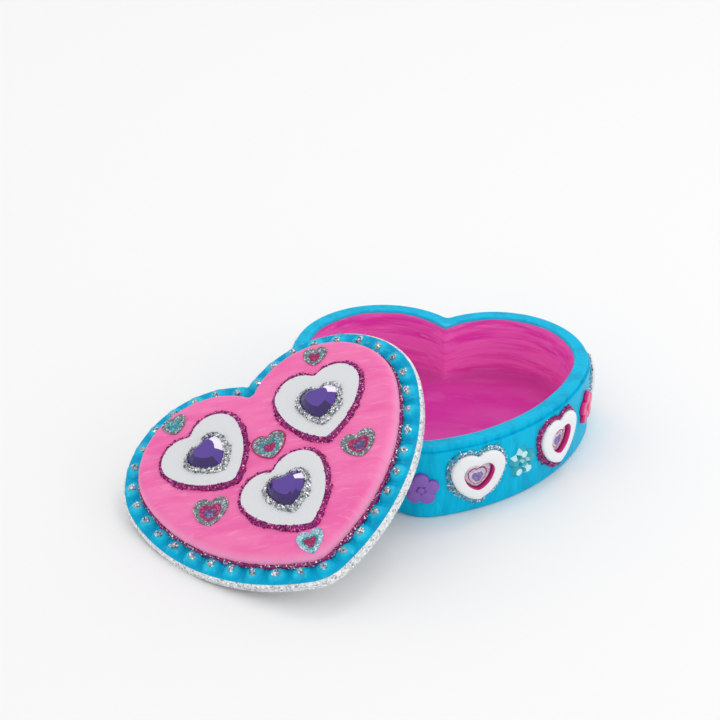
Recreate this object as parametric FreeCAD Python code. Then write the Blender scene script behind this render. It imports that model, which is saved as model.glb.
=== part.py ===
import FreeCAD, Part
import math
import os

# Heart-shaped keepsake box with a loose lid that leans on its rim. Millimetres, Z up, table at z = 0.
# The heart points to -Y and its notch is at +Y. The origin is midway between the centres of its lobes.

# Heart outline of the rim, six arcs that run smoothly into each other
lobe_half_gap = 23.5
lobe_radius = 36.5
side_radius = 86.0
side_start = math.radians(10.5)
tip_radius = 16.0
notch_radius = 2.5

# Box
box_height = 32.0
floor_thick = 5.2
wall_step = 1.0
rim_step_height = 2.4
wall_thick = 5.6
rim_round = 0.7
foot_round = 1.4
inner_round = 3.0
crease_radius = 1.5

# Lid
lid_overhang = 1.9
lid_edge_height = 3.4
lid_edge_bevel = 0.9
plug_clearance = 0.6
plug_depth = 7.5
plug_land = 0.3
dome_inset = 6.3
dome_height = 10.6
dome_round = 4.2
scallops_per_side = 18
scallop_inset = 3.0
scallop_radius = 6.2
scallop_sunk = 4.4

# How the loose lid stands: its foot on the table, its underside on the rim of the box
lean_tilt = 26.4
lean_heading = 52.6
lean_turn = 23.9
lean_across = 3.7
lean_clearance = 0.3

# Stuck-on pieces
glue_gap = 0.05
sticker_thick = 0.4
plaque_width = 34.2
plaque_thick = 1.0
plaque_glue_width = 1.4
plaque_glue_thick = 1.3
gem_width = 15.5
gem_girdle = 0.7
gem_crown = 2.8
gem_table = 0.58
gem_corners = 7
gem_glue_width = 1.5
gem_glue_thick = 1.3
dot_radius = 1.0
line_width = 0.8
line_top = 5.7

# Wall pieces: distance along the wall from the tip of the heart, the same on both sides
frame_places = (22.5, 64.5, 118.0)
flower_places = (43.5, 91.5, 146.0)
frame_width = 22.8
frame_level = 20.2
frame_thick = 2.8
hole_width = 12.4
hole_level = 18.7
hole_sticker_slack = 0.5
frame_glue_width = 1.4
frame_glue_thick = 1.2
flower_levels = (15.6, 17.0, 15.6)
tip_flower_level = 13.9
petal_ring = 4.1
petal_radius = 4.0
petal_sunk = 2.4
eye_radius = 2.2
eye_sunk = 0.5
petals = 5

Z = FreeCAD.Vector(0, 0, 1)


# Heart: lobe half gap, lobe radius, side radius, tip radius, notch radius
rim_heart = (lobe_half_gap, lobe_radius, side_radius, tip_radius, notch_radius)
rim_width = 2 * (lobe_half_gap + lobe_radius)
# A longer heart with fuller lobes, for the plaques and the gems, as shares of its width
long_heart = (0.212, 0.288, 0.909, 0.076, 0.06)
# A heart with a sharper tip and notch, for the stickers of the lid
sharp_heart = (0.235, 0.265, 0.75, 0.03, 0.02)


def wide(width):
    return [v * width / rim_width for v in rim_heart]


def long(width):
    return [v * width for v in long_heart]


def sharp(width):
    return [v * width for v in sharp_heart]


def centres(heart):
    """Centres of the side arc, the tip arc and the notch arc, and where the arcs meet."""
    gap, lobe, side, tip, notch = heart
    sx = gap - (side - lobe) * math.cos(side_start)
    sy = (side - lobe) * math.sin(side_start)
    ty = sy - math.sqrt((side - tip) ** 2 - sx ** 2)
    ny = math.sqrt((lobe + notch) ** 2 - gap ** 2)
    tip_angle = math.atan2(ty - sy, -sx)
    notch_angle = math.atan2(ny, -gap)
    return sx, sy, ty, ny, tip_angle, notch_angle


def right_arcs(heart, grow):
    """Arcs of the right half from the tip to the notch: centre, radius, start and end angle."""
    gap, lobe, side, tip, notch = heart
    sx, sy, ty, ny, tip_angle, notch_angle = centres(heart)
    arcs = [((0.0, ty), tip + grow, -math.pi / 2, tip_angle),
            ((sx, sy), side + grow, tip_angle, -side_start)]
    if grow < notch:
        arcs.append(((gap, 0.0), lobe + grow, -side_start, notch_angle))
        arcs.append(((0.0, ny), notch - grow, notch_angle - math.pi, -math.pi / 2))
    else:
        arcs.append(((gap, 0.0), lobe + grow, -side_start, math.acos(-gap / (lobe + grow))))
    return arcs


def on_arc(arc, angle, side):
    (cx, cy), radius = arc[0], arc[1]
    return FreeCAD.Vector(side * (cx + radius * math.cos(angle)), cy + radius * math.sin(angle), 0)


def heart_face(heart, grow=0.0):
    """Flat heart in the XY plane, every arc moved out by grow."""
    arcs = right_arcs(heart, grow)
    steps = [(arc, 1) for arc in arcs] + [(arc, -1) for arc in reversed(arcs)]
    edges = []
    for arc, side in steps:
        start, end = (arc[2], arc[3]) if side > 0 else (arc[3], arc[2])
        points = [on_arc(arc, start + (end - start) * k / 2, side) for k in range(3)]
        edges.append(Part.Arc(*points).toShape())
    return Part.Face(Part.Wire(edges))


def prism(face, bottom, top):
    body = face.extrude(FreeCAD.Vector(0, 0, top - bottom))
    body.translate(FreeCAD.Vector(0, 0, bottom))
    return body


def rim_prism(grow, bottom, top):
    return prism(heart_face(rim_heart, grow), bottom, top)


def edges_at(body, level):
    return [e for e in body.Edges if abs(e.BoundBox.ZMin - level) + abs(e.BoundBox.ZMax - level) < 1e-6]


def rounded(body, radius, level):
    """Round every edge that lies at one level."""
    return body.makeFillet(radius, edges_at(body, level))


def walk(heart, grow, distance):
    """Point and outward direction at a distance along the right half from the tip."""
    for (cx, cy), radius, start, end in right_arcs(heart, grow):
        length = radius * abs(end - start)
        if distance <= length:
            angle = start + (end - start) * distance / length
            out = FreeCAD.Vector(math.cos(angle), math.sin(angle), 0)
            return FreeCAD.Vector(cx, cy, 0) + out * radius, out
        distance -= length


def half_length(heart, grow):
    return sum(radius * abs(end - start) for _, radius, start, end in right_arcs(heart, grow))


def mirrored(point):
    return FreeCAD.Vector(-point.x, point.y, point.z)


def rim_offset(x, y):
    """How far a point lies outside the rim outline, negative inside."""
    gap, lobe, side, tip, notch = rim_heart
    sx, sy, ty, ny, tip_angle, notch_angle = centres(rim_heart)
    x = abs(x)
    if y > 0 and math.atan2(y, x - gap) > notch_angle:
        return notch - math.hypot(x, y - ny)
    if math.atan2(y, x - gap) >= -side_start:
        return math.hypot(x - gap, y) - lobe
    if math.atan2(y - sy, x - sx) >= tip_angle:
        return math.hypot(x - sx, y - sy) - side
    return math.hypot(x, y - ty) - tip


def outline(grow, count):
    """Points all round the rim outline, moved out by grow."""
    half = half_length(rim_heart, grow)
    right = [walk(rim_heart, grow, half * (k + 0.5) / count)[0] for k in range(count)]
    return right + [mirrored(p) for p in right]


# Places on the lid. The hearts share the length of the raised top: where it gets shorter or the plaques get
# wider, each row moves back, the tip row the most for the first and the upper row the most for the second.
plaque_half = plaque_width / 2
dome_reach = tip_radius - dome_inset - centres(rim_heart)[2]
upper_row = plaque_half - 0.26 * dome_reach
front_row = 0.75 * plaque_half - 0.66 * dome_reach
tip_row = -0.92 * dome_reach
# Plaques: name, place of the lobe line, turn
plaques = (("left", -8.2 - plaque_half, upper_row + 5.06, 18.4),
           ("right", 7.4 + plaque_half, upper_row + 4.26, -10.4),
           ("front", -1.9, front_row + 0.74, 11.0))
# Gems, on the plaques of the same name: place from that of the plaque, turn
gems = {"left": (1.0, -3.8, 20.5), "right": (-0.4, -4.2, -13.0), "front": (1.3, -2.1, -7.0)}
# Stickers: name, place of the lobe line, turn, width. Those at the back keep to their lobes.
stickers = (("back_left", -lobe_half_gap - 0.2164 * lobe_radius, 0.6411 * lobe_radius, -7.8, 10.2),
            ("back_right", lobe_half_gap + 0.1726 * lobe_radius, 0.6219 * lobe_radius, -22.7, 9.8),
            ("middle", -0.4, upper_row - 7.64, -5.9, 14.1),
            ("right", 30.6, front_row / 2 - 11.53, -6.0, 13.6),
            ("left", -29.9, front_row / 2 - 8.83, -20.9, 14.2),
            ("front", -0.2, tip_row + 1.98, -10.9, 10.6))


def save(name, shape):
    shape.exportStep("parts/" + name + ".step")
    print(name, round(shape.Volume, 1), "mm3", len(shape.Solids), "solid")


os.makedirs("parts", exist_ok=True)

# Box shell: outer wall, rim that steps in for the lid, hollow with a rounded floor edge and a creased notch
shoulder = box_height - rim_step_height
outer = rounded(rim_prism(wall_step, 0, shoulder), foot_round, 0)
hollow_heart = rim_heart[:4] + (crease_radius - wall_thick,)
hollow = prism(heart_face(hollow_heart, -wall_thick), floor_thick, box_height + 1)
hollow = rounded(hollow, inner_round, floor_thick)
box_shell = outer.fuse(rim_prism(0, floor_thick, box_height)).removeSplitter().cut(hollow)
box_shell = rounded(box_shell, rim_round, box_height)
save("box_shell", box_shell)

# Pieces on the wall: each is cut from a layer that follows the wall
wall_top = box_height


def wall_layer(inner, outer):
    return rim_prism(wall_step + outer, 0, wall_top).cut(rim_prism(wall_step + inner, 0, wall_top))


def on_wall(body, distance, level, side):
    """Stand a body that is drawn in the XY plane, facing +Z, against the wall."""
    point, out = walk(rim_heart, wall_step, distance)
    if side < 0:
        point, out = mirrored(point), mirrored(out)
    along = Z.cross(out)
    turn = FreeCAD.Matrix(along.x, Z.x, out.x, point.x, along.y, Z.y, out.y, point.y,
                          along.z, Z.z, out.z, level, 0, 0, 0, 1)
    return body.transformed(turn)


frame_layer = wall_layer(glue_gap, frame_thick)
glue_layer = wall_layer(glue_gap, frame_glue_thick)
sticker_layer = wall_layer(glue_gap, sticker_thick)
reach = frame_thick + lobe_radius / 3
frame_blank = prism(heart_face(wide(frame_width)), -reach, reach)
hole_blank = prism(heart_face(wide(hole_width)), -reach, reach)
hole_blank.translate(FreeCAD.Vector(0, hole_level - frame_level, 0))
frame_blank = frame_blank.cut(hole_blank)
sticker_blank = prism(heart_face(wide(hole_width), -hole_sticker_slack), -reach, reach)
glue_blank = prism(heart_face(wide(frame_width), glue_gap + frame_glue_width), -reach, reach)
glue_blank = glue_blank.cut(prism(heart_face(wide(frame_width), glue_gap), -reach, reach))

petal_balls = [Part.makeSphere(eye_radius, FreeCAD.Vector(0, 0, -eye_sunk))]
for k in range(petals):
    angle = math.pi / 2 + 2 * math.pi * k / petals
    centre = FreeCAD.Vector(petal_ring * math.cos(angle), petal_ring * math.sin(angle), -petal_sunk)
    petal_balls.append(Part.makeSphere(petal_radius, centre))
flower_blank = petal_balls[0].multiFuse(petal_balls[1:])
wall_block = rim_prism(wall_step + glue_gap, -box_height, 2 * box_height)

for side, hand in ((1, "right"), (-1, "left")):
    for number, distance in enumerate(frame_places, 1):
        tag = hand + "_" + str(number)
        save("side_heart_" + tag, on_wall(frame_blank, distance, frame_level, side).common(frame_layer))
        save("side_sticker_" + tag, on_wall(sticker_blank, distance, hole_level, side).common(sticker_layer))
        save("side_glitter_" + tag, on_wall(glue_blank, distance, frame_level, side).common(glue_layer))
    for number, (distance, level) in enumerate(zip(flower_places, flower_levels), 1):
        flower = on_wall(flower_blank, distance, level, side).cut(wall_block)
        save("side_flower_" + hand + "_" + str(number), flower)
save("side_flower_tip", on_wall(flower_blank, 0, tip_flower_level, 1).cut(wall_block))

# Rest of the lid: turned, tilted, lowered onto the table and moved up to the rim
tilt_axis = FreeCAD.Vector(math.sin(math.radians(lean_heading)), -math.cos(math.radians(lean_heading)), 0)
lean = FreeCAD.Rotation(tilt_axis, lean_tilt).multiply(FreeCAD.Rotation(Z, lean_turn))
towards = FreeCAD.Vector(math.cos(math.radians(lean_heading)), math.sin(math.radians(lean_heading)), 0)
across = Z.cross(towards) * lean_across
plug_inset = wall_thick + plug_clearance
plug_taper = plug_depth - plug_land
plug_foot = [p - Z * plug_depth for p in outline(-plug_inset - plug_taper, 600)]
lift = Z * -min(lean.multVec(p).z for p in outline(lid_overhang, 600) + plug_foot)
rim_points = [p + Z * box_height for grow in (0, -rim_round, -wall_thick) for p in outline(grow, 500)]


def clear_of_rim(along):
    """Smallest distance between the underside of the lid and the rim, with the lid at one place."""
    back = lean.inverted()
    start = towards * along + across + lift
    least = box_height
    for point in rim_points:
        local = back.multVec(point - start)
        offset = rim_offset(local.x, local.y)
        if offset < lid_overhang:
            inset = -offset - plug_inset
            underside = -min(plug_depth, plug_land + inset) if inset > 0 else 0.0
            least = min(least, underside - local.z)
    return least


near = -lobe_radius / 2
far = -6 * lobe_radius
for step in range(40):
    middle = (near + far) / 2
    if clear_of_rim(middle) > lean_clearance:
        far = middle
    else:
        near = middle
lid_rest = FreeCAD.Placement(towards * far + across + lift, lean)
print("lid stands at", lid_rest.Base, "with its underside clear of the rim by", clear_of_rim(far))


def save_on_lid(name, shape):
    placed = shape.copy()
    placed.Placement = lid_rest.multiply(placed.Placement)
    save(name, placed)


def turned(body, x, y, angle):
    moved = body.copy()
    moved.rotate(FreeCAD.Vector(0, 0, 0), Z, angle)
    moved.translate(FreeCAD.Vector(x, y, 0))
    return moved


# The raised top has a sharp notch of its own
dome_heart = rim_heart[:4] + (crease_radius - dome_inset,)


def dome_prism(grow, bottom, top):
    return prism(heart_face(dome_heart, grow - dome_inset), bottom, top)


def dome(grow):
    """Raised top of the lid, its whole surface moved out by grow."""
    top = dome_height + grow
    return rounded(dome_prism(grow, 0, top), dome_round + grow, top)


# Lid casting: edge, raised top, scallops from the tip up each side, and a tapered plug for the hollow
scallop_level = lid_edge_height - scallop_sunk
border_half = half_length(rim_heart, -scallop_inset)
scallop_at = []
for k in range(scallops_per_side + 1):
    place, out = walk(rim_heart, -scallop_inset, border_half * k / (scallops_per_side + 0.5))
    scallop_at.append((place + Z * scallop_level, out))
    if k > 0:
        scallop_at.append((mirrored(place) + Z * scallop_level, mirrored(out)))
balls = [Part.makeSphere(scallop_radius, place) for place, out in scallop_at]
border = balls[0].multiFuse(balls[1:]).common(rim_prism(lid_overhang - lid_edge_bevel, 0, dome_height))
plate = rim_prism(lid_overhang, 0, lid_edge_height)
plate = plate.makeChamfer(lid_edge_bevel, edges_at(plate, lid_edge_height))
lid = plate.multiFuse([dome(0), border])
plug = prism(heart_face(hollow_heart, -plug_inset), -plug_depth, 0)
plug = plug.makeChamfer(plug_taper, edges_at(plug, -plug_depth))
lid = lid.fuse(plug).removeSplitter()
save_on_lid("lid", lid)

# Glitter line in the corner between the raised top and the border
line = dome_prism(line_width, lid_edge_height + glue_gap, line_top)
line = line.cut(dome_prism(glue_gap, 0, dome_height))
line = line.cut([Part.makeSphere(scallop_radius + glue_gap, place) for place, out in scallop_at])
save_on_lid("lid_border_line", line)

# One glitter dot on the crest of each scallop
dots = []
for place, out in scallop_at:
    bead = Part.makeSphere(dot_radius, place + Z * scallop_radius)
    dots.append(bead.cut(Part.makeSphere(scallop_radius + glue_gap, place)))
save_on_lid("lid_border_dots", Part.Compound([s for dot in dots for s in dot.Solids]))

# White plaques with their glitter lines
plaque_bottom = dome_height + glue_gap
plaque_top = plaque_bottom + plaque_thick
for name, x, y, angle in plaques:
    heart = long(plaque_width)
    slab = prism(heart_face(heart), plaque_bottom, plaque_top)
    save_on_lid("lid_plaque_" + name, turned(slab, x, y, angle))
    ring = prism(heart_face(heart, glue_gap + plaque_glue_width), plaque_bottom,
                 plaque_bottom + plaque_glue_thick)
    ring = ring.cut(prism(heart_face(heart, glue_gap), 0, 2 * plaque_top))
    save_on_lid("lid_plaque_line_" + name, turned(ring, x, y, angle))


def gem_ring(share, level):
    """Corners of the gem at one level, a share of its widest outline."""
    corners = []
    for side, order in ((1, range(gem_corners + 1)), (-1, range(gem_corners, 0, -1))):
        for k in order:
            heart = long(gem_width)
            point, out = walk(heart, 0, half_length(heart, 0) * k / (gem_corners + 0.5))
            corner = point if side > 0 else mirrored(point)
            corners.append(FreeCAD.Vector(corner.x * share, (corner.y - gem_drop) * share + gem_drop, level))
    return corners


# Gems: a low straight girdle, steep facets and flatter facets up to a flat table
gem_drop = -0.16 * gem_width
gem_bottom = plaque_top + glue_gap
gem_levels = ((1.0, gem_bottom), (1.0, gem_bottom + gem_girdle),
              ((1 + 2 * gem_table) / 3, gem_bottom + gem_girdle + 0.72 * gem_crown),
              (gem_table, gem_bottom + gem_girdle + gem_crown))
rings = [gem_ring(share, level) for share, level in gem_levels]
gem_faces = [Part.Face(Part.makePolygon(ring + ring[:1])) for ring in (rings[0], rings[-1])]
for low, high in zip(rings, rings[1:]):
    for k in range(len(low)):
        n = (k + 1) % len(low)
        gem_faces.append(Part.Face(Part.makePolygon([low[k], low[n], high[n], high[k], low[k]])))
gem = Part.Solid(Part.Shell(gem_faces))
if gem.Volume < 0:
    gem.reverse()
gem_heart = long(gem_width)
collar = prism(heart_face(gem_heart, glue_gap + gem_glue_width), gem_bottom, gem_bottom + gem_glue_thick)
collar = collar.cut(prism(heart_face(gem_heart, glue_gap), 0, 2 * gem_bottom))
gem_room = gem_ring(1 + 4 * glue_gap / gem_width, 0)
collar = collar.cut(prism(Part.Face(Part.makePolygon(gem_room + gem_room[:1])), 0, 2 * gem_bottom))
for name, x, y, plaque_angle in plaques:
    aside, ahead, angle = gems[name]
    save_on_lid("lid_gem_" + name, turned(gem, x + aside, y + ahead, angle))
    save_on_lid("lid_gem_collar_" + name, turned(collar, x + aside, y + ahead, angle))

# Lid stickers, which follow the raised top over its rounded edge
skin = dome(glue_gap + sticker_thick).cut(dome(glue_gap))
for name, x, y, angle, width in stickers:
    blank = prism(heart_face(sharp(width)), dome_height / 2, 2 * dome_height)
    save_on_lid("lid_sticker_" + name, turned(blank, x, y, angle).common(skin))
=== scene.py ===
# %% [markdown]
# # A heart keepsake box, painted and decorated by hand
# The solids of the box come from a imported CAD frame, in metres, and they already have the right shape and
# place. This lesson paints the shell, the lid, the plaques and the gems. It puts finer pieces in place of
# the frames, the flowers, the foil stickers and the glitter glue, which are plain solids in the CAD model.
# %% Load the frame
import math
import random

import bmesh
import bpy
from mathutils import Matrix, Vector, noise


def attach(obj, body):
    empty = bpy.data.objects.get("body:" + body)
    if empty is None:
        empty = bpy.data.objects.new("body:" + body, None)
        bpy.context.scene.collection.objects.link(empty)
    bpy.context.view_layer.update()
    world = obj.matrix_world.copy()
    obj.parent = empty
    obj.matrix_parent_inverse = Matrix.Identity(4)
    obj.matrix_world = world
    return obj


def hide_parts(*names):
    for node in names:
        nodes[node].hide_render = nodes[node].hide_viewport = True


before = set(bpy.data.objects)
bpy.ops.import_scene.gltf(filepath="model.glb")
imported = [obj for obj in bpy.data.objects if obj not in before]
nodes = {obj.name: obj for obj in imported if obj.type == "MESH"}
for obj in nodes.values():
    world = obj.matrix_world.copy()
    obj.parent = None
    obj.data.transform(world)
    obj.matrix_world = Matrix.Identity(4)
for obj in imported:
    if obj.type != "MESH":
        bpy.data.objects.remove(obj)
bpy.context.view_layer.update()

# %% [markdown]
# ## Camera
# The picture was taken from a little right of the tip of the heart and about 31 degrees above the table,
# with a long lens, so the outlines stay nearly parallel. A camera can be placed by eye in the viewport, but
# these numbers come from a fit to points of the photo, so they are typed: a point to look at, two angles
# and a distance.
# %% Camera
camera = bpy.data.objects.new("camera", bpy.data.cameras.new("camera"))
camera.data.sensor_width = 36.0
camera.data.lens = 109.9
look_at = Vector((-0.03303, -0.001, 0.02607))
camera_height = math.radians(30.82)
camera_side = math.radians(7.38)
camera_distance = 0.90275
sight = Vector((math.sin(camera_side) * math.cos(camera_height),
                -math.cos(camera_side) * math.cos(camera_height), math.sin(camera_height)))
camera.location = look_at + camera_distance * sight
camera.rotation_euler = (-sight).to_track_quat("-Z", "Y").to_euler()
bpy.context.scene.collection.objects.link(camera)
bpy.context.scene.camera = camera
bpy.context.scene.view_settings.view_transform = "Standard"
print("camera at", camera.location)

# %% [markdown]
# ## Floor and light
# A white table and a bright even room give the pale look of a product photo. A picture of a sky could light
# it too, but the polished gems would mirror it, so the room is plain white. One panel above and behind
# draws the soft shine on the gems, and a second on the right the pale strip on the wall of the box.
# %% Studio
def panel_light(name, place, target, size, power):
    light = bpy.data.lights.new(name, "AREA")
    light.size = size
    light.energy = power
    lamp = bpy.data.objects.new(name, light)
    lamp.location = place
    lamp.rotation_euler = (Vector(target) - Vector(place)).to_track_quat("-Z", "Y").to_euler()
    bpy.context.scene.collection.objects.link(lamp)


floor_mesh = bmesh.new()
bmesh.ops.create_grid(floor_mesh, x_segments=1, y_segments=1, size=3.0)
floor_data = bpy.data.meshes.new("table")
floor_mesh.to_mesh(floor_data)
floor_mesh.free()
table = bpy.data.objects.new("table", floor_data)
bpy.context.scene.collection.objects.link(table)
white_table = bpy.data.materials.new("white table")
white_table.use_nodes = True
white_table.node_tree.nodes["Principled BSDF"].inputs["Base Color"].default_value = (0.93, 0.93, 0.93, 1)
white_table.node_tree.nodes["Principled BSDF"].inputs["Roughness"].default_value = 0.9
table.data.materials.append(white_table)

room = bpy.data.worlds.new("room")
room.use_nodes = True
room.node_tree.nodes["Background"].inputs["Color"].default_value = (1.0, 1.0, 1.0, 1)
room.node_tree.nodes["Background"].inputs["Strength"].default_value = 0.95
bpy.context.scene.world = room
panel_light("top panel", (0.25, 0.3, 0.9), (-0.03, -0.02, 0.02), 0.25, 0.7)
panel_light("right panel", (0.7, -0.35, 0.45), (0.0, 0.0, 0.02), 0.25, 0.4)

# %% [markdown]
# ## The heart outline
# Everything on this box follows one heart drawn with arcs: a round tip, two long sides, two lobes and a
# small hollow between them. A Bezier curve could draw it too, but arcs can be measured along, and moving
# each one out or in by the same amount keeps it on its centre. The small hearts are drawn the same way, the
# wide ones with the rim's proportions and the long and the sharp ones with their own. Lengths here are in
# millimetres.
# %% Heart drawing
MM = 0.001
SIDE_START = math.radians(10.5)
# A heart is the distance from its middle line to a lobe's centre, then four radii: lobe, side, tip, notch.
RIM_HEART = (23.5, 36.5, 86.0, 16.0, 2.5)
RIM_WIDTH = 120.0
LONG_HEART = (0.212, 0.288, 0.909, 0.076, 0.06)
SHARP_HEART = (0.235, 0.265, 0.75, 0.03, 0.02)


def wide_heart(width):
    return [v * width / RIM_WIDTH for v in RIM_HEART]


def long_heart(width):
    return [v * width for v in LONG_HEART]


def sharp_heart(width):
    return [v * width for v in SHARP_HEART]


def half_arcs(heart, grow):
    gap, lobe, side, tip, notch = heart
    sx = gap - (side - lobe) * math.cos(SIDE_START)
    sy = (side - lobe) * math.sin(SIDE_START)
    ty = sy - math.sqrt((side - tip) ** 2 - sx ** 2)
    tip_angle = math.atan2(ty - sy, -sx)
    arcs = [((0.0, ty), tip + grow, -math.pi / 2, tip_angle),
            ((sx, sy), side + grow, tip_angle, -SIDE_START)]
    if grow < notch:
        ny = math.sqrt((lobe + notch) ** 2 - gap ** 2)
        notch_angle = math.atan2(ny, -gap)
        arcs.append(((gap, 0.0), lobe + grow, -SIDE_START, notch_angle))
        arcs.append(((0.0, ny), notch - grow, notch_angle - math.pi, -math.pi / 2))
    else:
        arcs.append(((gap, 0.0), lobe + grow, -SIDE_START, math.acos(-gap / (lobe + grow))))
    return arcs


def walk(heart, grow, distance):
    arcs = half_arcs(heart, grow)
    for (cx, cy), radius, start, end in arcs:
        length = radius * abs(end - start)
        if distance <= length + 1e-9:
            angle = start + (end - start) * distance / length
            out = (math.cos(angle), math.sin(angle))
            return (cx + radius * out[0], cy + radius * out[1]), out
        distance -= length
    return (0.0, arcs[-1][0][1]), (0.0, 1.0)


def half_length(heart, grow):
    return sum(radius * abs(end - start) for _, radius, start, end in half_arcs(heart, grow))


def heart_points(heart, grow, count):
    half = half_length(heart, grow)
    right = [walk(heart, grow, half * k / count)[0] for k in range(count + 1)]
    return right + [(-x, y) for x, y in reversed(right[1:-1])]


def heart_offset(heart, x, y):
    """How far a point lies outside a heart, negative inside."""
    gap, lobe, side, tip, notch = heart
    (_, ty), _, _, tip_angle = half_arcs(heart, 0)[0]
    (sx, sy), _, _, _ = half_arcs(heart, 0)[1]
    ny = math.sqrt((lobe + notch) ** 2 - gap ** 2)
    x = abs(x)
    if y > 0 and math.atan2(y, x - gap) > math.atan2(ny, -gap):
        return notch - math.hypot(x, y - ny)
    if math.atan2(y, x - gap) >= -SIDE_START:
        return math.hypot(x - gap, y) - lobe
    if math.atan2(y - sy, x - sx) >= tip_angle:
        return math.hypot(x - sx, y - sy) - side
    return math.hypot(x, y - ty) - tip


print("rim heart is", round(2 * half_length(RIM_HEART, 0), 1), "mm round")

# %% [markdown]
# ## Where the lid lies
# The lid leans: it is turned, tilted and moved. Its pieces could be made flat and turned as objects, but
# the CAD solids already lie in place, so points are moved instead. One matrix takes a point of the lid's
# own drawing to its place in the frame, and its inverse takes the frame's points back to the drawing.
# %% Lid place
lid_turn = math.radians(23.9)
lid_tilt = math.radians(26.4)
lid_heading = math.radians(52.6)
tilt_axis = Vector((math.sin(lid_heading), -math.cos(lid_heading), 0))
lid_place = (Matrix.Translation(Vector((-57.89158, -69.62726, 27.34026)) * MM)
             @ Matrix.Rotation(lid_tilt, 4, tilt_axis) @ Matrix.Rotation(lid_turn, 4, "Z"))
to_lid = lid_place.inverted()
EDGE_HEIGHT = 3.4
EDGE_REACH = 1.0
DOME_INSET = 6.3
DOME_TOP = 10.6
DOME_ROUND = 4.2
CREASE_RADIUS = 1.5
DOME_HEART = RIM_HEART[:4] + (CREASE_RADIUS - DOME_INSET,)


def dome_level(x, y):
    """Height of the raised top at a point of the lid, in millimetres."""
    inside = -DOME_INSET - heart_offset(DOME_HEART, x, y)
    if inside >= DOME_ROUND:
        return DOME_TOP
    reach = DOME_ROUND - max(inside, 0.0)
    return DOME_TOP - DOME_ROUND + math.sqrt(max(DOME_ROUND ** 2 - reach ** 2, 0.0))


print("lid top centre in the frame", lid_place @ Vector((0, 0, DOME_TOP * MM)))

# %% [markdown]
# ## Brushed paint
# Acrylic paint put on with a brush shows streaks: thin and thick bands that run along the stroke. A picture
# of strokes could be wrapped round the mesh, but it would have to be unwrapped first. A noise pattern that
# is stretched in one direction needs only a place. The group mixes a base colour with a darker and a
# lighter one, and also gives a height for the small ridges and a roughness.
# %% Brush group
def new_group(name):
    """A node group that turns a place and three colours into a colour, a roughness and a height."""
    group = bpy.data.node_groups.new(name, "ShaderNodeTree")
    for label, kind in (("Vector", "Vector"), ("Base", "Color"), ("Dark", "Color"), ("Light", "Color")):
        group.interface.new_socket(name=label, in_out="INPUT", socket_type="NodeSocket" + kind)
    for label, kind in (("Color", "Color"), ("Roughness", "Float"), ("Height", "Float")):
        group.interface.new_socket(name=label, in_out="OUTPUT", socket_type="NodeSocket" + kind)
    return group, group.nodes.new("NodeGroupInput"), group.nodes.new("NodeGroupOutput")


def add_noise(tree, vector, scale, detail):
    node = tree.nodes.new("ShaderNodeTexNoise")
    node.inputs["Scale"].default_value = scale
    node.inputs["Detail"].default_value = detail
    node.inputs["Roughness"].default_value = 0.55
    tree.links.new(vector, node.inputs["Vector"])
    return node.outputs["Fac"]


def add_range(tree, value, low, high, to_low, to_high):
    node = tree.nodes.new("ShaderNodeMapRange")
    for label, number in (("From Min", low), ("From Max", high), ("To Min", to_low), ("To Max", to_high)):
        node.inputs[label].default_value = number
    tree.links.new(value, node.inputs["Value"])
    return node.outputs["Result"]


def add_mix(tree, factor, first, second):
    node = tree.nodes.new("ShaderNodeMix")
    node.data_type = "RGBA"
    tree.links.new(factor, node.inputs[0])
    for source, socket in ((first, node.inputs[6]), (second, node.inputs[7])):
        if hasattr(source, "links"):
            tree.links.new(source, socket)
        else:
            socket.default_value = source
    return node.outputs[2]


brush_group, given, made = new_group("brushed paint")
broad = add_noise(brush_group, given.outputs["Vector"], 1.0, 4.0)
fine = add_noise(brush_group, given.outputs["Vector"], 3.1, 2.0)
body = add_mix(brush_group, add_range(brush_group, broad, 0.36, 0.56, 0.0, 1.0),
               given.outputs["Dark"], given.outputs["Base"])
brush_group.links.new(add_mix(brush_group, add_range(brush_group, fine, 0.56, 0.78, 0.0, 0.8), body,
                              given.outputs["Light"]), made.inputs["Color"])
brush_group.links.new(add_range(brush_group, broad, 0.2, 0.8, 0.28, 0.5), made.inputs["Roughness"])
brush_group.links.new(add_range(brush_group, fine, 0.2, 0.8, 0.0, 1.0), made.inputs["Height"])
print("group", brush_group.name, len(brush_group.nodes), "nodes")

# %% [markdown]
# ## Paints
# Each painted area has its own colour and strokes: up and down on the outer wall, level on the inside,
# slantwise over the top of the lid and dabbed on its border. The stretch is set in a Mapping node on Object
# coordinates: a small scale along the stroke and a large one across it. That leaves the mesh alone, which a
# painted image would not.
# %% Painted materials
def linear(r, g, b):
    parts = [c / 255.0 for c in (r, g, b)]
    return [c / 12.92 if c <= 0.04045 else ((c + 0.055) / 1.055) ** 2.4 for c in parts] + [1.0]


def plain(name, colour, roughness, **sockets):
    material = bpy.data.materials.new(name)
    material.use_nodes = True
    shader = material.node_tree.nodes["Principled BSDF"]
    shader.inputs["Base Color"].default_value = colour
    shader.inputs["Roughness"].default_value = roughness
    for label, value in sockets.items():
        shader.inputs[label.replace("_", " ")].default_value = value
    return material, material.node_tree, shader


def mapped(tree, turn, stretch, move=(0, 0, 0)):
    place = tree.nodes.new("ShaderNodeTexCoord")
    mapping = tree.nodes.new("ShaderNodeMapping")
    mapping.inputs["Rotation"].default_value = turn
    mapping.inputs["Scale"].default_value = stretch
    mapping.inputs["Location"].default_value = move
    tree.links.new(place.outputs["Object"], mapping.inputs["Vector"])
    return mapping.outputs["Vector"]


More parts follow.
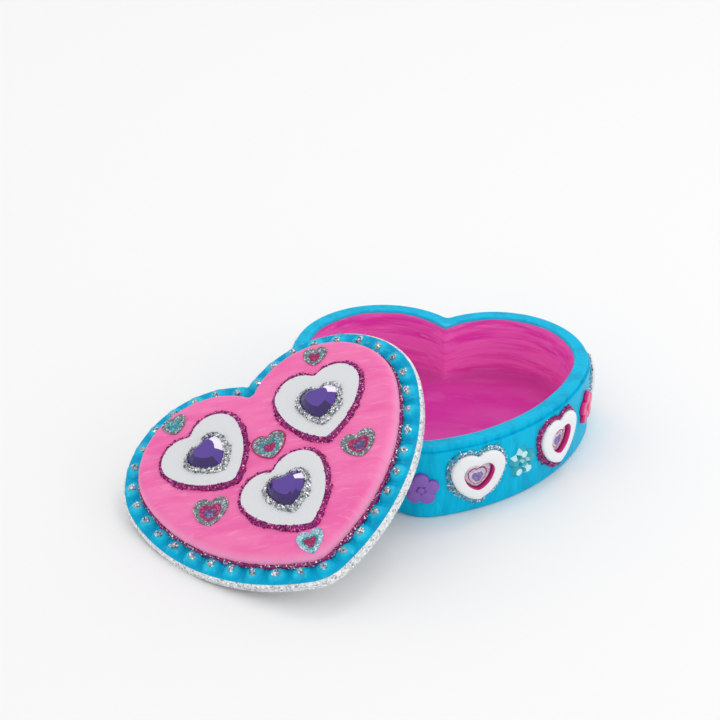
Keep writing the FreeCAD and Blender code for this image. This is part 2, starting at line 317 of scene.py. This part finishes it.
def bumped(tree, shader, height, strength, depth):
    bump = tree.nodes.new("ShaderNodeBump")
    bump.inputs["Strength"].default_value = strength
    bump.inputs["Distance"].default_value = depth
    tree.links.new(height, bump.inputs["Height"])
    tree.links.new(bump.outputs["Normal"], shader.inputs["Normal"])


def patterned(name, group, colours, turn, stretch, roughness, strength, depth, **sockets):
    """A material whose colour, roughness and small relief come from a node group."""
    tones = [linear(*colour) for colour in colours]
    material, tree, shader = plain(name, tones[0], roughness, **sockets)
    pattern = tree.nodes.new("ShaderNodeGroup")
    pattern.node_tree = group
    for label, tone in zip(("Base", "Dark", "Light"), tones):
        pattern.inputs[label].default_value = tone
    tree.links.new(mapped(tree, turn, stretch), pattern.inputs["Vector"])
    tree.links.new(pattern.outputs["Color"], shader.inputs["Base Color"])
    tree.links.new(pattern.outputs["Roughness"], shader.inputs["Roughness"])
    bumped(tree, shader, pattern.outputs["Height"], strength, depth)
    return material


def paint(name, base, dark, light, turn, stretch):
    return patterned(name, brush_group, (base, dark, light), turn, stretch, roughness=0.4,
                     strength=0.35, depth=0.0004, Specular_IOR_Level=0.08)


lid_slant = (math.radians(-18), math.radians(16), math.radians(-30))
wall_blue = paint("wall blue", (0, 186, 226), (0, 168, 210), (24, 198, 231), (0, 0, 0), (190, 190, 45))
border_blue = paint("border blue", (0, 186, 224), (0, 160, 202), (90, 212, 236), lid_slant, (160, 160, 160))
inside_pink = paint("inside pink", (252, 118, 208), (236, 72, 188), (252, 148, 216), (0, 0, 0.3),
                    (22, 60, 260))
dome_pink = paint("dome pink", (243, 122, 180), (238, 106, 171), (248, 146, 194), lid_slant, (40, 190, 60))
print("paints", [m.name for m in (wall_blue, border_blue, inside_pink, dome_pink)])

# %% [markdown]
# ## Tints by height
# The pink is darker on the floor and at the foot of the inside wall: that is painted shade deep in the box.
# The blue of the outside comes a little way over the edge of the rim, with an uneven line as a brush leaves
# it. On the lid the blue is deeper low in the border, painted shade in the creases between the scallops, and
# paler on its crests, a painted highlight. The pink is paler on the shoulder of the raised top, also a
# painted highlight. All of this follows the height, so a height read in the shader does it, where vertex
# paint would need a finer mesh.
# %% Tints by height
TINT_WOBBLE = 0.0008


def height_of(tree, vector):
    parts = tree.nodes.new("ShaderNodeSeparateXYZ")
    tree.links.new(vector, parts.inputs["Vector"])
    return parts.outputs["Z"]


def up_the_box(tree):
    return height_of(tree, mapped(tree, (0, 0, 0), (1, 1, 1)))


def up_the_lid(tree):
    """Height above the underside of the lid: the mapping undoes the turn and the lean of the lid."""
    return height_of(tree, mapped(tree, to_lid.to_euler(), (1, 1, 1), to_lid.translation))


def tint(material, height, full, none, colour, most):
    """Mixes a colour into a paint: most of it at the height full, nothing at the height none, in metres."""
    tree = material.node_tree
    shader = tree.nodes["Principled BSDF"]
    under = shader.inputs["Base Color"].links[0].from_socket
    wobble = add_range(tree, add_noise(tree, mapped(tree, (0, 0, 0), (70, 70, 30)), 1.0, 2.0),
                       0.0, 1.0, -TINT_WOBBLE, TINT_WOBBLE)
    wavy = tree.nodes.new("ShaderNodeMath")
    wavy.operation = "ADD"
    tree.links.new(height(tree), wavy.inputs[0])
    tree.links.new(wobble, wavy.inputs[1])
    share = add_range(tree, wavy.outputs["Value"], none, full, 0.0, most)
    tree.links.new(add_mix(tree, share, under, linear(*colour)), shader.inputs["Base Color"])


# Painted shade: the floor and the foot of the inside wall are darkened.
tint(inside_pink, up_the_box, 0.0060, 0.0090, (196, 48, 148), 0.7)
tint(inside_pink, up_the_box, 0.0311, 0.0308, (60, 190, 225), 1.0)
# Painted shade low in the border, in the creases between the scallops.
tint(border_blue, up_the_lid, 0.0037, 0.0046, (0, 156, 202), 0.6)
# Painted highlight on the crests of the scallops.
tint(border_blue, up_the_lid, 0.0052, 0.0044, (70, 208, 232), 0.55)
# Painted highlight: the shoulder of the raised top is made paler.
tint(dome_pink, up_the_lid, 0.0075, 0.0102, (252, 168, 208), 0.7)
print("tints on", inside_pink.name, border_blue.name, dome_pink.name)

# %% [markdown]
# ## Foil and glitter
# Glitter is thousands of tiny mirrors at random angles. On the stickers and the silver edge they are too
# small to model, so a cell pattern gives each speck its own brightness, painted glints and painted shade for
# mirrors that catch or miss the light, and a bump tips it. In the glue ridges the flakes are real plates,
# and each one carries a random number that picks its colour, from dark to near white: partly real tone and
# partly painted glints and shade.
# %% Sparkle group
sparkle_group, given, made = new_group("sparkle")
cells = sparkle_group.nodes.new("ShaderNodeTexVoronoi")
cells.inputs["Scale"].default_value = 1.0
sparkle_group.links.new(given.outputs["Vector"], cells.inputs["Vector"])
speck = sparkle_group.nodes.new("ShaderNodeSeparateColor")
sparkle_group.links.new(cells.outputs["Color"], speck.inputs["Color"])
# Painted shade: some specks are mixed towards the dark colour.
dim = add_mix(sparkle_group, add_range(sparkle_group, speck.outputs["Red"], 0.0, 0.35, 0.0, 1.0),
              given.outputs["Dark"], given.outputs["Base"])
# Painted glints: a few specks get the near-white colour.
glint = add_range(sparkle_group, speck.outputs["Green"], 0.7, 0.95, 0.0, 1.0)
sparkle_group.links.new(add_mix(sparkle_group, glint, dim, given.outputs["Light"]), made.inputs["Color"])
dull = add_range(sparkle_group, speck.outputs["Blue"], 0.0, 1.0, 0.15, 0.6)
sparkle_group.links.new(dull, made.inputs["Roughness"])
sparkle_group.links.new(speck.outputs["Red"], made.inputs["Height"])


def foil(name, base, dark, light, grain, metallic):
    return patterned(name, sparkle_group, (base, dark, light), (0, 0, 0), (grain, grain, grain),
                     roughness=0.3, strength=0.5, depth=0.0002, Metallic=metallic)


def flakes(name, colours):
    material, tree, shader = plain(name, linear(*colours[0]), 0.2, Metallic=0.5)
    number = tree.nodes.new("ShaderNodeAttribute")
    number.attribute_name = "flake"
    ramp = tree.nodes.new("ShaderNodeValToRGB")
    ramp.color_ramp.interpolation = "CONSTANT"
    while len(ramp.color_ramp.elements) < len(colours):
        ramp.color_ramp.elements.new(1.0)
    # The flake colours run from dark to near white: partly real tone, partly painted glints and shade.
    for k, colour in enumerate(colours):
        ramp.color_ramp.elements[k].position = k / len(colours)
        ramp.color_ramp.elements[k].color = linear(*colour)
    tree.links.new(number.outputs["Fac"], ramp.inputs["Fac"])
    tree.links.new(ramp.outputs["Color"], shader.inputs["Base Color"])
    return material


# In each foil the dark colour is the painted shade of dim specks and the pale one their painted glints.
silver_edge = foil("silver edge", (220, 224, 226), (142, 148, 152), (252, 253, 253), 1500, 0.2)
silver_foil = foil("silver foil", (112, 122, 128), (54, 64, 72), (204, 214, 216), 1900, 0.25)
teal_foil = foil("teal foil", (48, 140, 155), (20, 88, 106), (130, 200, 205), 1700, 0.3)
magenta_foil = foil("magenta foil", (158, 18, 88), (108, 8, 64), (200, 70, 130), 1700, 0.25)
purple_foil = foil("purple foil", (96, 76, 132), (58, 44, 96), (150, 132, 180), 1700, 0.3)
pale_foil = foil("pale foil", (205, 200, 214), (168, 160, 184), (240, 238, 244), 1700, 0.1)
lavender_foil = foil("lavender foil", (132, 112, 182), (104, 84, 156), (170, 154, 208), 1700, 0.15)
blue_foil = foil("blue foil", (140, 190, 205), (80, 120, 150), (225, 240, 244), 1900, 0.25)
silver_flakes = flakes("silver flakes", ((95, 100, 106), (185, 189, 193), (226, 228, 231),
                                         (252, 252, 252), (150, 157, 164)))
magenta_flakes = flakes("magenta flakes", ((95, 8, 75), (160, 20, 115), (205, 45, 150),
                                           (125, 35, 135), (235, 130, 195)))
silver_glue = plain("silver glue", linear(165, 172, 178), 0.35)[0]
clear_glue = plain("clear glue over blue", linear(24, 160, 196), 0.3)[0]
magenta_glue = plain("magenta glue", linear(140, 15, 100), 0.35)[0]
print("glitter", silver_flakes.name, magenta_flakes.name)

# %% [markdown]
# ## Plain finishes
# The plaques and frames are satin white resin, and the gems and flowers polished plastic, so one colour and
# one roughness each are enough. The gems and the teal flowers are clear on the real box. A glass shader
# could do that, but it mostly shows what lies below, so here they are opaque, and light is painted on their
# facets: the paler facets are painted highlights and glints, and the darker gem facets are painted shade.
# %% Solid materials
white_satin = plain("white satin", linear(219, 221, 224), 0.42)[0]
frame_white = plain("frame white", linear(238, 240, 242), 0.4)[0]
# The dark and near-white gem tones are painted shade and a painted highlight; the pale teal is a painted
# glint.
gem_painted_shade = plain("gem painted shade", linear(50, 24, 98), 0.05)[0]
gem_purple = plain("gem purple", linear(84, 54, 150), 0.05)[0]
gem_painted_highlight = plain("gem painted highlight", linear(246, 238, 252), 0.05)[0]
flower_purple = plain("flower purple", linear(138, 92, 186), 0.2)[0]
flower_teal = plain("flower teal", linear(28, 168, 188), 0.1)[0]
teal_glint = plain("teal glint", linear(196, 238, 240), 0.08)[0]
flower_magenta = plain("flower magenta", linear(225, 5, 120), 0.2)[0]
hole_pink = plain("hole pink", linear(214, 40, 135), 0.4)[0]
print("gem tones", [m.name for m in (gem_painted_shade, gem_purple, gem_painted_highlight)])

# %% [markdown]
# ## Painting by area
# The outside of the box is blue and the inside pink. On the lid the raised top is pink, the scallops are
# blue, the upright edge is silver and the underside white. Areas could be picked by hand in edit mode, but
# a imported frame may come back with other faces, so each face finds its area from where its middle lies on
# the drawing.
# %% Paint the box and the lid
INSIDE_INSET = 5.5
INSIDE_FROM = 5.1
UNDERSIDE = 0.01
SLACK = 0.05


def paint_areas(node, materials, area_of):
    data = nodes[node].data
    data.materials.clear()
    for material in materials:
        data.materials.append(material)
    picks = [area_of(face.center, face.normal) for face in data.polygons]
    data.polygons.foreach_set("material_index", picks)
    data.update()
    print(node, [picks.count(k) for k in range(len(materials))], "faces by area")


def box_area(middle, normal):
    inset = -heart_offset(RIM_HEART, middle.x / MM, middle.y / MM)
    return 1 if inset > INSIDE_INSET and middle.z > INSIDE_FROM * MM else 0


def lid_area(middle, normal):
    spot = (to_lid @ middle) / MM
    out = heart_offset(RIM_HEART, spot.x, spot.y)
    if spot.z < UNDERSIDE:
        return 3
    if heart_offset(DOME_HEART, spot.x, spot.y) < SLACK - DOME_INSET and spot.z > EDGE_HEIGHT:
        return 1
    return 2 if out > EDGE_REACH + SLACK and spot.z < EDGE_HEIGHT - SLACK else 0


paint_areas("box_shell", [wall_blue, inside_pink], box_area)
paint_areas("lid", [border_blue, dome_pink, silver_edge, white_satin], lid_area)

# %% [markdown]
# ## Things on the wall
# Frames, flowers and stickers sit on a wall that bends. A place on it is a distance from the tip of the
# heart along the wall and a height, so a small flat drawing can be laid on the wall like a label on a jar.
# A modifier could bend each piece, but the arcs already give the exact place and the direction outwards.
# %% Wall places
WALL_STEP = 1.0
FRAME_LEVEL = 20.2
HOLE_LEVEL = 18.7
frame_spots = {"1": 22.5, "2": 64.5, "3": 118.0}
hands = {"right": 1, "left": -1}


def on_wall(distance, level, hand):
    """A function that lays a drawing on the wall: across, up and out become a point in the frame."""
    def lay(across, up, out):
        along = distance + hand * across
        (x, y), (nx, ny) = walk(RIM_HEART, WALL_STEP, abs(along))
        mirror = hand * (1 if along >= 0 else -1)
        return Vector((mirror * (x + nx * out), y + ny * out, level + up)) * MM
    return lay


def frame_places():
    """Tag, number, distance from the tip and hand of each frame."""
    for hand, sign in hands.items():
        for number, distance in frame_spots.items():
            yield hand + "_" + number, number, distance, sign


print("frames", [tag for tag, *_ in frame_places()])

# %% [markdown]
# ## Plaques and gems
# The plaques are plain white hearts. The gems are cut, and some facets of a cut stone send more light back
# than others. Tracing that light through a clear stone is slow, so light and shade are painted on the facets:
# those that face one direction, given below, are painted paler, those nearest to it get a near-white
# painted highlight, and the rest a dark painted shade.
# %% Plaques and gems
GEM_HIGHLIGHT_FACING = Vector((0.27, 0.08, 0.96)).normalized()
PAINTED_HIGHLIGHT_FROM = 0.95
PAINTED_PALER_FROM = 0.75


# Painted light by facing: a near-white painted highlight, a paler tone, or a dark painted shade.
def gem_area(middle, normal):
    toward_highlight = normal.dot(GEM_HIGHLIGHT_FACING)
    if toward_highlight > PAINTED_HIGHLIGHT_FROM:
        return 2
    return 1 if toward_highlight > PAINTED_PALER_FROM else 0


for name, node in nodes.items():
    if name.startswith("lid_plaque_") and "line" not in name:
        node.data.materials.clear()
        node.data.materials.append(white_satin)
    if name.startswith("lid_gem_") and "collar" not in name:
        paint_areas(name, [gem_painted_shade, gem_purple, gem_painted_highlight], gem_area)

# %% [markdown]
# ## Glitter glue
# A ridge of glitter glue is squeezed from a tube, so it is a soft bead that swells and thins, with flakes
# in it. A curve with a round bevel could make the bead, but its foot would not lie flat on the box. So
# rings of edges that follow the heart are bridged into a bead and pushed about with noise, and small
# six-sided plates are set in its top at random angles.
# %% Glue tools
LOT = 50
FLAKE_LEAN = 0.4


def edge_ring(bm, points):
    corners = [bm.verts.new(p) for p in points]
    return [bm.edges.new((corners[k], corners[(k + 1) % len(corners)])) for k in range(len(corners))]


def spread(start, end):
    """Squeezed glue runs thick and thin along its length, and it sags a little towards the tip of a heart."""
    (ax, ay), (bx, by) = start, end
    reach = math.hypot(bx - ax, by - ay)
    sag = 0.35 * (ay - by) / reach if reach > 0 else 0.0
    wander = 0.5 * noise.noise(Vector((ax, ay, 7.0)) * 0.2) + 0.4 * noise.noise(Vector((ax, ay, 3.0)) * 0.9)
    share = 1.1 + sag + wander
    return ax + (bx - ax) * share, ay + (by - ay) * share


def glue_bead(bm, heart, profile, count, lay):
    """Bead with a closed profile of (grow, height), its first and last point close to the surface below."""
    start = heart_points(heart, profile[0][0], count)
    rings = []
    for grow, level in profile:
        spots = [spread(a, b) for a, b in zip(start, heart_points(heart, grow, count))]
        rings.append(edge_ring(bm, [lay(x, y, level) for x, y in spots]))
    for inner, outer in zip(rings, rings[1:] + rings[:1]):
        bmesh.ops.bridge_loops(bm, edges=inner + outer)
    bmesh.ops.recalc_face_normals(bm, faces=bm.faces)
    bm.normal_update()
    resting = {v for ring in (rings[0], rings[-1]) for e in ring for v in e.verts}
    for v in bm.verts:
        if v not in resting:
            v.co += v.normal * (0.4 * MM * noise.noise(v.co * 500) + 0.2 * MM * noise.noise(v.co * 1600))
    return [f for f in bm.faces if not all(v in resting for v in f.verts)]


def set_flakes(bm, faces, count, radius, seed, look=1):
    """Plates are made in small lots that are joined to the bead one lot at a time, which is much quicker."""
    dice = random.Random(seed)
    picks = dice.choices(faces, [f.calc_area() for f in faces], k=count)
    spots = []
    for face in picks:
        shares = [dice.random() for v in face.verts]
        spot = sum((v.co * w for v, w in zip(face.verts, shares)), Vector()) / sum(shares)
        spots.append((spot, face.normal.copy()))
    for first in range(0, count, LOT):
        lot = bmesh.new()
        layer = lot.faces.layers.float.new("flake")
        for spot, normal in spots[first:first + LOT]:
            lean = Vector([dice.gauss(0, FLAKE_LEAN) for _ in range(3)])
            turn = (normal + lean).to_track_quat("Z", "Y").to_matrix().to_4x4()
            size = radius * dice.uniform(0.7, 1.3)
            place = Matrix.Translation(spot + lean * 0.5 * MM) @ turn
            plate = bmesh.ops.create_cone(lot, cap_ends=True, segments=6, radius1=size, radius2=size,
                                          depth=size * 0.5, matrix=place)
            shade = dice.random()
            for side in {f for v in plate["verts"] for f in v.link_faces}:
                side[layer] = shade
                side.material_index = look
        joined = bpy.data.meshes.new("lot")
        lot.to_mesh(joined)
        lot.free()
        bm.from_mesh(joined)
        bpy.data.meshes.remove(joined)


def add_piece(name, bm, materials, body, node, slot):
    data = bpy.data.meshes.new(name)
    bm.to_mesh(data)
    bm.free()
    piece = bpy.data.objects.new(name, data)
    bpy.context.scene.collection.objects.link(piece)
    for material in materials:
        data.materials.append(material)
    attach(piece, body)
    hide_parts(node)


def glitter_ridge(name, heart, profile, count, lay, plates, radius, look, body, node, sprinkle=0,
                  glue=silver_glue):
    bm = bmesh.new()
    bm.faces.layers.float.new("flake")
    top = glue_bead(bm, heart, profile, count, lay)
    for face in bm.faces:
        face.smooth = True
    set_flakes(bm, top, plates, radius, name)
    materials = [glue, silver_flakes] if look == "silver" else [magenta_glue, magenta_flakes]
    if sprinkle:
        bare = [f for f in bm.faces if f.material_index == 0]
        set_flakes(bm, bare, sprinkle, radius, name + " sprinkle", 2)
        materials.append(silver_flakes)
    add_piece(name, bm, materials, body, node, look + "_glitter")
    print(name, plates, "flakes")


# %% [markdown]
# ## Frames
# A frame is a moulded heart with a soft edge and a heart-shaped hole. A bevel could soften the CAD heart,
# but its mesh is made of thin triangles, which bevel badly. So rings of edges go up its outside, over the
# top and down into the hole, and each is bridged to the next.
# %% Soft frames
FRAME_WIDTH = 22.8
HOLE_WIDTH = 12.4
FRAME_POINTS = 60
frame_rings = ((0.0, 0.05), (0.0, 2.0), (-0.3, 2.55), (-0.9, 2.8))
hole_rings = ((0.7, 2.85), (0.2, 2.6), (0.0, 2.2), (0.0, 0.1))


def frame_heart(width, grow):
    return heart_points(wide_heart(width), grow, FRAME_POINTS)


def soft_frame(name, lay, node):
    bm = bmesh.new()
    drop = HOLE_LEVEL - FRAME_LEVEL
    rings = [edge_ring(bm, [lay(x, y, level) for x, y in frame_heart(FRAME_WIDTH, grow)])
             for grow, level in frame_rings]
    rings += [edge_ring(bm, [lay(x, y + drop, level) for x, y in frame_heart(HOLE_WIDTH, grow)])
              for grow, level in hole_rings]
    in_hole = len(frame_rings) + 1
    for k, (first, second) in enumerate(zip(rings, rings[1:] + rings[:1])):
        for face in bmesh.ops.bridge_loops(bm, edges=first + second)["faces"]:
            face.smooth = True
            face.material_index = 1 if in_hole <= k < len(rings) - 1 else 0
    bmesh.ops.recalc_face_normals(bm, faces=bm.faces)
    add_piece(name, bm, [frame_white, hole_pink], "box", node, "white_resin")


for tag, number, distance, sign in frame_places():
    soft_frame("white_frame_" + tag, on_wall(distance, FRAME_LEVEL, sign), "side_heart_" + tag)
print("frames", len(hands) * len(frame_spots))

# %% [markdown]
# ## Flowers
# A flower is five buttons round a small one, made flat and then laid on the wall. Moulded ones have round
# buttons with a bevelled edge. The teal ones are cut like crystal, so their buttons are cones with few
# sides. Cones need no drawing of their own, which petals cut from a curve would.
# %% Flowers
PETAL_RING = 4.1
PETAL_RADIUS = 3.1
PETAL_DEPTH = 1.7
PETAL_MIDDLE = 0.9
CENTRE_DEPTH = 2.0
CENTRE_MIDDLE = 1.05
CRYSTAL_SIDES = 8
ROUND_ABOVE = 1.5
ROUND_BY = 0.6
TIP_FLOWER_LEVEL = 13.9
flower_looks = {"1": ("teal_flower", [flower_teal, teal_glint], 6, 0.5),
                "2": ("magenta_flower", [flower_magenta], 24, 0.9),
                "3": ("purple_flower", [flower_purple], 24, 0.9)}
flower_spots = {"1": (43.5, 15.6), "2": (91.5, 17.0), "3": (146.0, 15.6)}


def flower(name, lay, node, look):
    slot, materials, sides, crown = look
    bm = bmesh.new()
    for k in range(5):
        turn = Matrix.Rotation(math.pi / 2 + 2 * math.pi * k / 5, 4, "Z")
        bmesh.ops.create_cone(bm, cap_ends=True, segments=sides, radius1=PETAL_RADIUS,
                              radius2=PETAL_RADIUS * crown, depth=PETAL_DEPTH,
                              matrix=turn @ Matrix.Translation((PETAL_RING, 0, PETAL_MIDDLE)))
    bmesh.ops.create_cone(bm, cap_ends=True, segments=sides, radius1=1.7, radius2=1.3, depth=CENTRE_DEPTH,
                          matrix=Matrix.Translation((0, 0, CENTRE_MIDDLE)))
    if sides > CRYSTAL_SIDES:
        rim = [e for e in bm.edges if all(v.co.z > ROUND_ABOVE for v in e.verts)]
        bmesh.ops.bevel(bm, geom=rim, offset=ROUND_BY, offset_type="OFFSET", segments=3, profile=0.5,
                        affect="EDGES", material=-1)
        for face in bm.faces:
            face.smooth = True
    for number, face in enumerate(bm.faces):
        # The pale teal on every third facet of a teal flower is a painted glint.
        face.material_index = 1 if len(materials) > 1 and number % 3 == 1 else 0
    for v in bm.verts:
        v.co = lay(*v.co)
    bmesh.ops.recalc_face_normals(bm, faces=bm.faces)
    add_piece(name, bm, materials, "box", node, slot)


for hand, sign in hands.items():
    for number, (distance, level) in flower_spots.items():
        tag = hand + "_" + number
        flower("flower_" + tag, on_wall(distance, level, sign), "side_flower_" + tag, flower_looks[number])
flower("flower_tip", on_wall(0.0, TIP_FLOWER_LEVEL, 1), "side_flower_tip", flower_looks["3"])
print("flowers", len(hands) * len(flower_spots) + 1)

# %% [markdown]
# ## Glitter on the wall
# Each frame has a ridge of glue round it, magenta at the middle frame of a side and clear with silver
# flakes at the others. Clear glue could be a glass shader, but it is thin, so it simply has the blue that
# shows through.
# %% Ridges on the wall
frame_ridge = ((0.1, 0.1), (0.1, 0.9), (0.6, 1.2), (1.1, 1.0), (1.6, 0.5), (1.8, 0.05))
for tag, number, distance, sign in frame_places():
    look = "magenta" if number == "2" else "silver"
    glitter_ridge("glitter_round_frame_" + tag, wide_heart(FRAME_WIDTH), frame_ridge, FRAME_POINTS,
                  on_wall(distance, FRAME_LEVEL, sign), plates=800, radius=0.0003, look=look, body="box",
                  node="side_glitter_" + tag, glue=clear_glue)

# %% [markdown]
# ## Glitter on the lid
# Magenta glue runs round each plaque and along the foot of the raised top, where silver is sprinkled on it,
# and a silver collar runs round each gem. They could be plain extrusions, but the same tools give them the
# same soft look as on the wall.
# %% Ridges on the lid
def on_lid(x, y, angle, base):
    """Lays a drawing on the lid, turned and moved; base gives the height below each point."""
    cosine, sine = math.cos(math.radians(angle)), math.sin(math.radians(angle))

    def lay(across, up, out):
        px = x + cosine * across - sine * up
        py = y + sine * across + cosine * up
        return lid_place @ (Vector((px, py, base(px, py) + out)) * MM)
    return lay


PLAQUE_TOP = DOME_TOP + 1.05
PLAQUE_WIDTH = 34.2
GEM_WIDTH = 15.5
plaque_spots = {"left": (-25.3, 5.0, 18.4), "right": (24.5, 4.2, -10.4), "front": (-1.9, -30.0, 11.0)}
gem_spots = {"left": (-24.3, 1.2, 20.5), "right": (24.1, 0.0, -13.0), "front": (-0.6, -32.1, -7.0)}
plaque_ridge = ((0.1, 0.1), (0.1, 0.8), (0.5, 1.0), (0.9, 0.8), (1.3, 0.45), (1.5, 0.05))
collar_ridge = ((0.1, 0.1), (0.1, 0.9), (0.6, 1.1), (1.1, 0.8), (1.5, 0.5), (1.7, 0.05))
for name, (x, y, angle) in plaque_spots.items():
    glitter_ridge("glitter_round_plaque_" + name, long_heart(PLAQUE_WIDTH), plaque_ridge, 110,
                  on_lid(x, y, angle, lambda px, py: DOME_TOP), plates=1500, radius=0.00032,
                  look="magenta", body="lid", node="lid_plaque_line_" + name)
for name, (x, y, angle) in gem_spots.items():
    glitter_ridge("glitter_round_gem_" + name, long_heart(GEM_WIDTH), collar_ridge, 60,
                  on_lid(x, y, angle, lambda px, py: PLAQUE_TOP), plates=900, radius=0.00034,
                  look="silver", body="lid", node="lid_gem_collar_" + name)
line_ridge = [(grow - DOME_INSET, level)
              for grow, level in ((0.05, 4.0), (0.05, 5.5), (0.4, 5.7), (0.7, 5.2), (0.8, 3.9))]
glitter_ridge("glitter_round_the_top", DOME_HEART, line_ridge, 400, on_lid(0, 0, 0, lambda px, py: 0.0),
              plates=1500, radius=0.0003, look="magenta", body="lid", node="lid_border_line", sprinkle=1900)

# %% [markdown]
# ## Foil stickers
# A sticker is a printed heart with smaller hearts inside it: an edge, coloured bands and a heart in the
# middle. A picture on a flat heart could show that, but bands need no picture. Each band is the same heart
# made smaller about one point below its middle, and a hair higher, so that all rings of edges are bridged
# the same way round. The last ring is filled, and each band gets a foil or a plain colour.
# %% Stickers
HOLE_STICKER_WIDTH = 11.9
STICKER_POINTS = 32
STICKER_MIDDLE = -0.6
BAND_STEP = 0.03
SURFACE_GAP = 0.05


def sticker(name, heart, bands, lay, body, node, thick):
    bm = bmesh.new()
    outline = heart_points(heart, 0.0, STICKER_POINTS)
    middle = STICKER_MIDDLE * (heart[0] + heart[1])
    rings = [edge_ring(bm, [lay(x, y, SURFACE_GAP) for x, y in outline])]
    bmesh.ops.edgeloop_fill(bm, edges=rings[0])
    for step, share in enumerate([1.0] + [share for share, _ in bands]):
        spots = [(x * share, (y - middle) * share + middle) for x, y in outline]
        rings.append(edge_ring(bm, [lay(x, y, thick + BAND_STEP * step) for x, y in spots]))
    looks = [bands[0][1]] + [look for _, look in bands]
    materials = list(dict.fromkeys(looks))
    for inner, outer, look in zip(rings, rings[1:], looks):
        for face in bmesh.ops.bridge_loops(bm, edges=inner + outer)["faces"]:
            face.material_index = materials.index(look)
    for face in bmesh.ops.edgeloop_fill(bm, edges=rings[-1])["faces"]:
        face.material_index = materials.index(looks[-1])
    bmesh.ops.recalc_face_normals(bm, faces=bm.faces)
    add_piece(name, bm, materials, body, node, "foil_sticker")


hole_bands = ((0.94, hole_pink), (0.7, pale_foil), (0.62, magenta_foil), (0.4, pale_foil),
              (0.2, lavender_foil))
for tag, number, distance, sign in frame_places():
    sticker("sticker_in_frame_" + tag, wide_heart(HOLE_STICKER_WIDTH), hole_bands,
            on_wall(distance, HOLE_LEVEL, sign), "box", "side_sticker_" + tag, thick=0.4)
lid_stickers = {
    "back_left": (-31.4, 23.4, -7.8, 10.2, ((0.6, silver_foil), (0.34, teal_foil), (0.2, teal_foil))),
    "back_right": (29.8, 22.7, -22.7, 9.8, ((0.6, silver_foil), (0.5, teal_foil), (0.3, magenta_foil))),
    "middle": (-0.4, -7.7, -5.9, 14.1, ((0.92, magenta_foil), (0.6, silver_foil), (0.36, teal_foil),
                                        (0.22, magenta_foil))),
    "right": (30.6, -26.9, -6.0, 13.6, ((0.62, silver_foil), (0.36, magenta_foil), (0.2, purple_foil))),
    "left": (-29.9, -24.2, -20.9, 14.2, ((0.64, silver_foil), (0.36, magenta_foil), (0.2, purple_foil))),
    "front": (-0.2, -58.74, -10.9, 10.6, ((0.6, blue_foil), (0.44, teal_foil), (0.3, magenta_foil)))}
for name, (x, y, angle, width, bands) in lid_stickers.items():
    sticker("sticker_on_lid_" + name, sharp_heart(width), bands, on_lid(x, y, angle, dome_level),
            "lid", "lid_sticker_" + name, thick=0.45)
print("stickers", len(lid_stickers), "on the lid")

# %% [markdown]
# ## Dots
# Each scallop carries one blob of silver glitter. Metaballs could make blobs, but their mesh is hard to
# control. A small ball on the crest of the scallop is pushed about with noise until it is a clump, and gets
# some flakes.
# %% Dots on the scallops
SCALLOPS = 37
FLAKES_PER_DOT = 24
DOT_RADIUS = 1.05
DOT_SQUASH = 0.35
DOT_SWELL = 1.1
SCALLOP_INSET = 3.0
SCALLOP_RISE = 1.8
dot_mesh = bmesh.new()
dot_mesh.faces.layers.float.new("flake")
half_border = half_length(RIM_HEART, -SCALLOP_INSET)
upward = lid_place.to_3x3() @ Vector((0, 0, 1))
for k in range((SCALLOPS + 1) // 2):
    (x, y), _ = walk(RIM_HEART, -SCALLOP_INSET, half_border * k / (SCALLOPS / 2))
    for mirror in ((1,) if k == 0 else (1, -1)):
        spot = lid_place @ (Vector((mirror * x, y, EDGE_HEIGHT + SCALLOP_RISE)) * MM)
        ball = bmesh.ops.create_icosphere(dot_mesh, subdivisions=3, radius=DOT_RADIUS * MM,
                                           matrix=Matrix.Translation(spot))
        for v in ball["verts"]:
            arm = v.co - spot
            arm -= DOT_SQUASH * arm.dot(upward) * upward
            v.co = spot + arm * (1.0 + DOT_SWELL * noise.noise(v.co * 800))
bmesh.ops.recalc_face_normals(dot_mesh, faces=dot_mesh.faces)
dot_mesh.normal_update()
for face in dot_mesh.faces:
    face.smooth = True
upper = [f for f in dot_mesh.faces if f.normal.dot(upward) > 0.1]
set_flakes(dot_mesh, upper, SCALLOPS * FLAKES_PER_DOT, 0.00036, "dots")
add_piece("glitter_dots", dot_mesh, [silver_glue, silver_flakes], "lid", "lid_border_dots", "silver_glitter")
print("dots", SCALLOPS)
